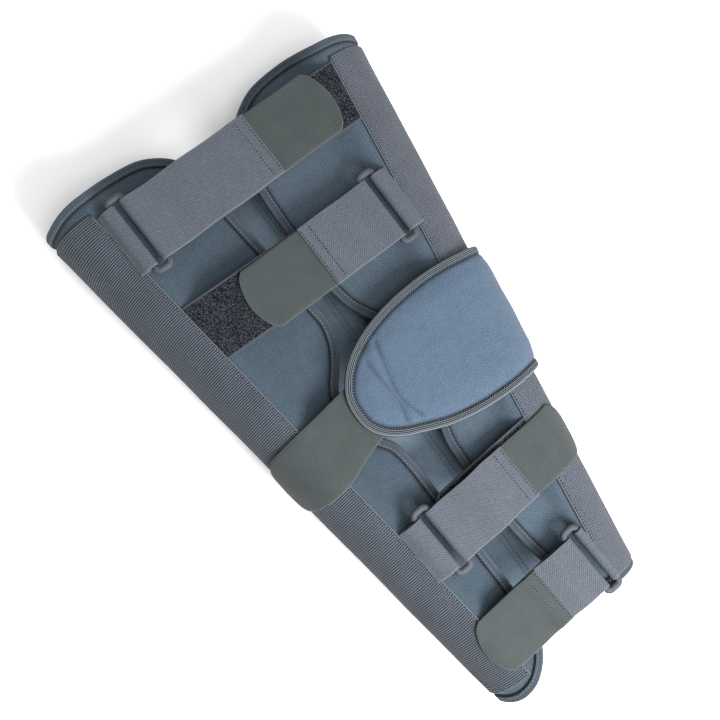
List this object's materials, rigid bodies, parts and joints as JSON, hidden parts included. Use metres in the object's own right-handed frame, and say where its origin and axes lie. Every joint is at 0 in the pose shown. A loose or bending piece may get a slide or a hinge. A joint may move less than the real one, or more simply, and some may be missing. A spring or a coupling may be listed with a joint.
{
  "type": "knee immobiliser brace",
  "caption": "Tapered wrap-around knee brace with ribbed stay panels, open front, ring-and-hook straps and a folding knee pad.",
  "frame": {"origin": "middle of the brace on the surface it lies on, under the centre of its box", "axes": "+X to the right seen from the front, +Y from the calf end to the thigh end, +Z out of the front"},
  "size_m": [0.271, 0.4588, 0.0739],
  "materials": {
    "foam_laminate": "brushed felt face on foam",
    "pad_felt": "brushed felt",
    "ribbed_pile": "ribbed looped knit",
    "binding": "woven tape",
    "pocket_cloth": "felt",
    "webbing": "woven elastic webbing",
    "loop_pile": "looped pile",
    "hook_tape": "ribbed back of hook tape",
    "ring_plastic": "moulded",
    "stay_aluminium": "mill"
  },
  "bodies": {
    "root": {"back_panel": "foam_laminate", "back_bottom_binding": "binding", "back_top_binding": "binding", "posterior_stay_right": "stay_aluminium", "posterior_stay_left": "stay_aluminium", "posterior_pocket": "pocket_cloth", "left_wing": "foam_laminate", "left_wing_binding": "binding", "right_wing": "foam_laminate", "right_wing_binding": "binding", "left_stay": "stay_aluminium", "right_stay": "stay_aluminium", "left_side_panel": "ribbed_pile", "right_side_panel": "ribbed_pile", "knee_pad_root": "pad_felt", "knee_pad_root_binding": "binding", "upper_thigh_anchor": "webbing", "upper_thigh_base": "loop_pile", "lower_thigh_anchor": "webbing", "lower_thigh_base": "loop_pile", "upper_calf_anchor": "webbing", "upper_calf_base": "loop_pile", "lower_calf_anchor": "webbing", "lower_calf_base": "loop_pile"},
    "knee_pad": {"knee_pad": "pad_felt", "knee_pad_binding": "binding", "knee_pad_tab": "hook_tape"},
    "upper_thigh_ring": {"upper_thigh_ring": "ring_plastic"},
    "upper_thigh_strap": {"upper_thigh_webbing": "webbing", "upper_thigh_tab": "hook_tape"},
    "lower_thigh_ring": {"lower_thigh_ring": "ring_plastic"},
    "lower_thigh_strap": {"lower_thigh_webbing": "webbing", "lower_thigh_tab": "hook_tape"},
    "upper_calf_ring": {"upper_calf_ring": "ring_plastic"},
    "upper_calf_strap": {"upper_calf_webbing": "webbing", "upper_calf_tab": "hook_tape"},
    "lower_calf_ring": {"lower_calf_ring": "ring_plastic"},
    "lower_calf_strap": {"lower_calf_webbing": "webbing", "lower_calf_tab": "hook_tape"}
  },
  "joints": [
    {"name": "upper_thigh_ring_swing", "type": "hinge", "parent": "root", "child": "upper_thigh_ring", "pos_m": [-0.0868, 0.18418, 0.06977], "axis": [0.0349, -0.999, -0.0272], "range_deg": [0, 25]},
    {"name": "upper_thigh_strap_peel", "type": "hinge", "parent": "upper_thigh_ring", "child": "upper_thigh_strap", "pos_m": [-0.0758, 0.18457, 0.06978], "axis": [0.0349, -0.999, -0.0272], "range_deg": [0, 150]},
    {"name": "lower_thigh_ring_swing", "type": "hinge", "parent": "root", "child": "lower_thigh_ring", "pos_m": [0.0758, 0.10352, 0.06758], "axis": [-0.0262, 0.9993, 0.0272], "range_deg": [0, 25]},
    {"name": "lower_thigh_strap_peel", "type": "hinge", "parent": "lower_thigh_ring", "child": "lower_thigh_strap", "pos_m": [0.0648, 0.10323, 0.06757], "axis": [-0.0262, 0.9993, 0.0272], "range_deg": [0, 150]},
    {"name": "upper_calf_ring_swing", "type": "hinge", "parent": "root", "child": "upper_calf_ring", "pos_m": [-0.04289, -0.10567, 0.06189], "axis": [0.0628, -0.9977, -0.0271], "range_deg": [0, 25]},
    {"name": "upper_calf_strap_peel", "type": "hinge", "parent": "upper_calf_ring", "child": "upper_calf_strap", "pos_m": [-0.03191, -0.10498, 0.06191], "axis": [0.0628, -0.9977, -0.0271], "range_deg": [0, 150]},
    {"name": "lower_calf_ring_swing", "type": "hinge", "parent": "root", "child": "lower_calf_ring", "pos_m": [0.04528, -0.17981, 0.05987], "axis": [-0.075, 0.9968, 0.0271], "range_deg": [0, 25]},
    {"name": "lower_calf_strap_peel", "type": "hinge", "parent": "lower_calf_ring", "child": "lower_calf_strap", "pos_m": [0.03431, -0.18064, 0.05985], "axis": [-0.075, 0.9968, 0.0271], "range_deg": [0, 150]},
    {"name": "knee_pad_fold", "type": "hinge", "parent": "root", "child": "knee_pad", "pos_m": [0.07086, -0.0025, 0.06949], "axis": [0.1338, 0.9906, 0.0269], "range_deg": [0, 150]}
  ]
}
